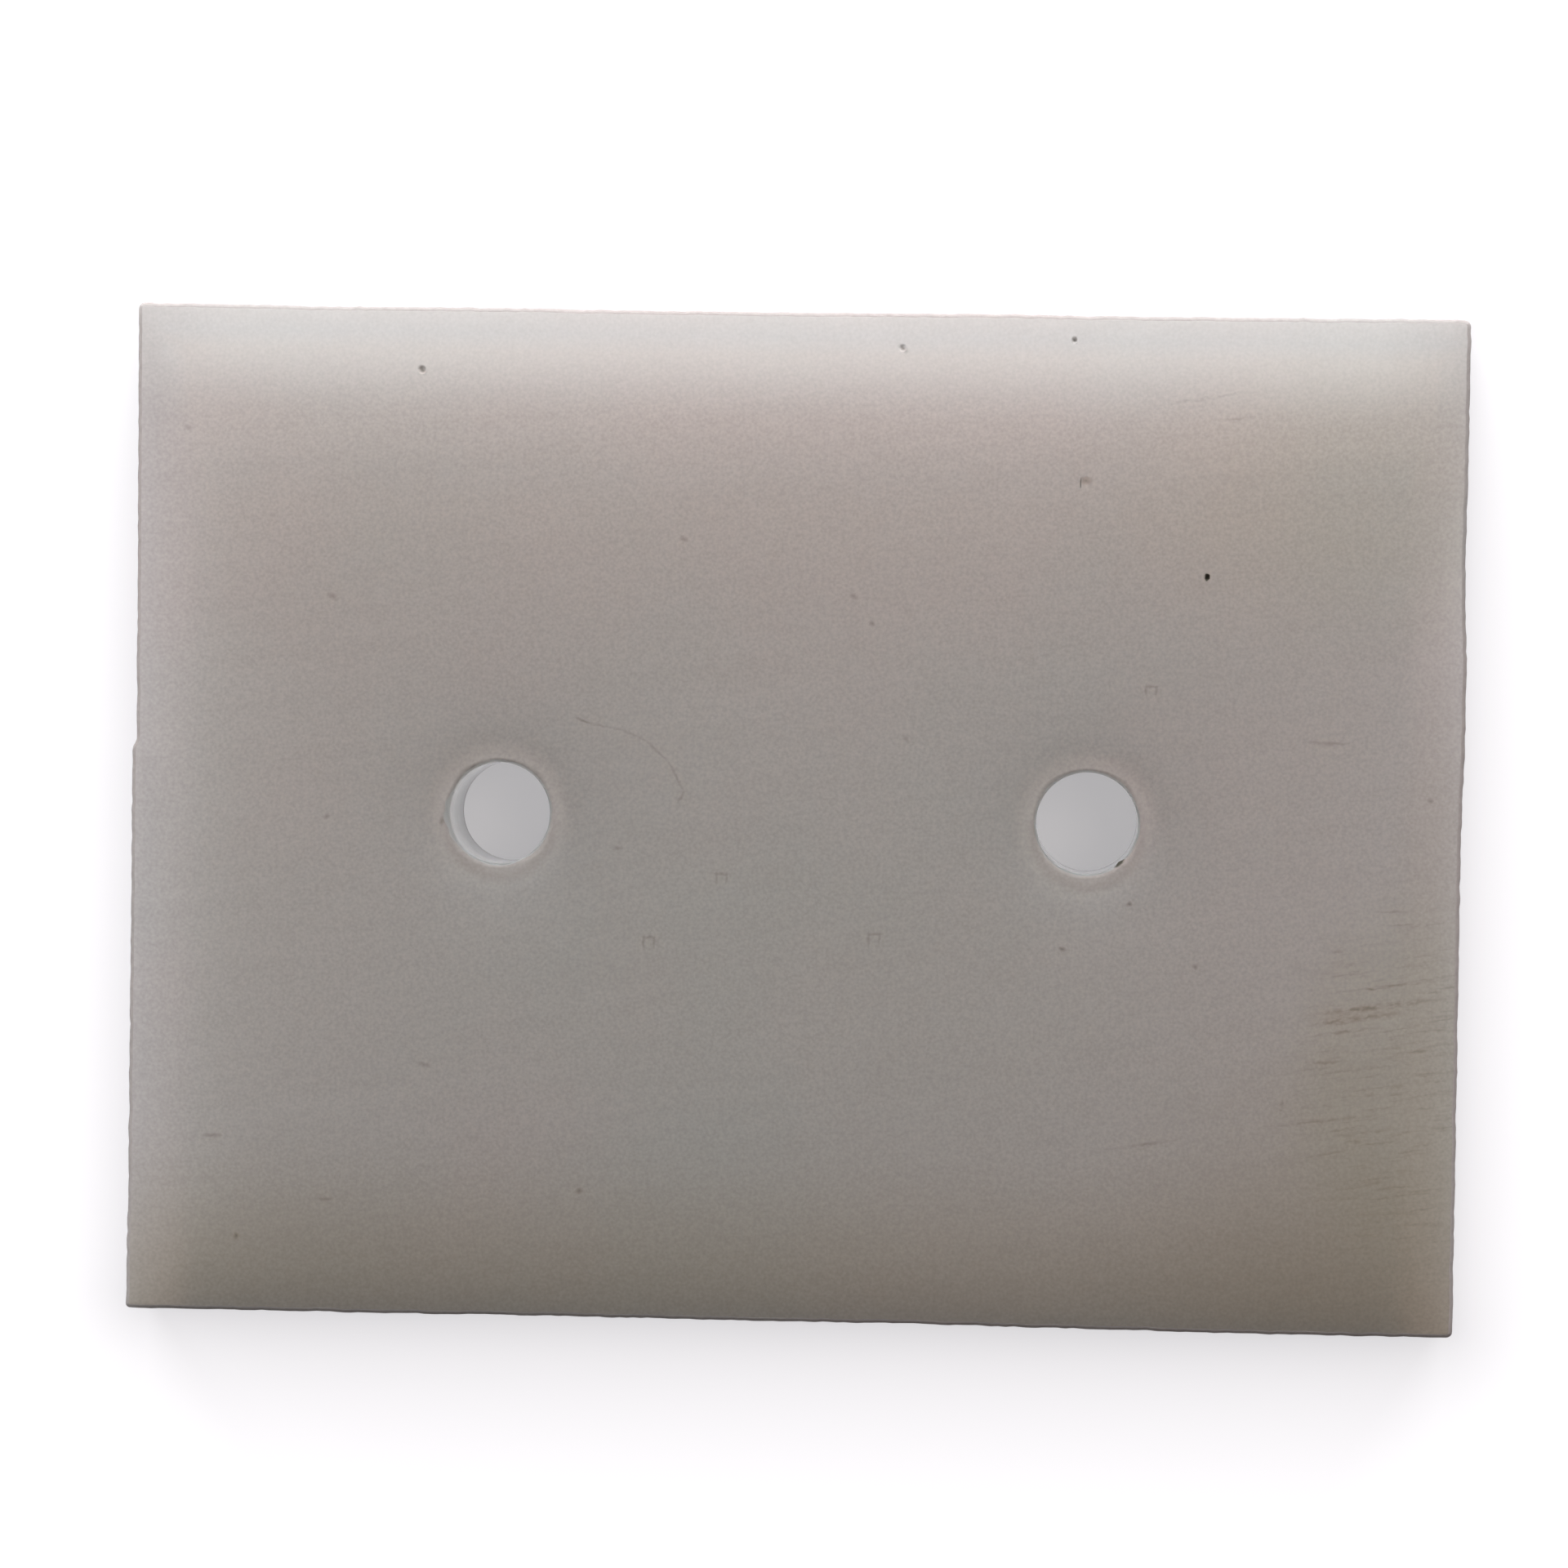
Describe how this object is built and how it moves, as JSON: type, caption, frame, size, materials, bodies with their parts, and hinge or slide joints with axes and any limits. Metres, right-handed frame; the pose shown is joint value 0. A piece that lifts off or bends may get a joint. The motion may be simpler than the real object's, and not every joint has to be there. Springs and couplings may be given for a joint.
{
  "type": "wear pad",
  "caption": "Flat rectangular slab of milky natural nylon with plain bolt holes on its long centre line, bolted to a frame as a renewable sliding and wearing face.",
  "frame": {"origin": "centre of the back face, which is the face that lies on the surface", "axes": "+X along the pad's length and the row of holes, +Y along its width, +Z out of the wear face"},
  "size_m": [0.1334, 0.1014, 0.0127],
  "materials": {
    "natural_nylon": "milky natural nylon sheet, satin skinned faces, sawn sides, light scuffs and specks"
  },
  "bodies": {
    "root": {"wear_pad": "natural_nylon"}
  },
  "joints": []
}
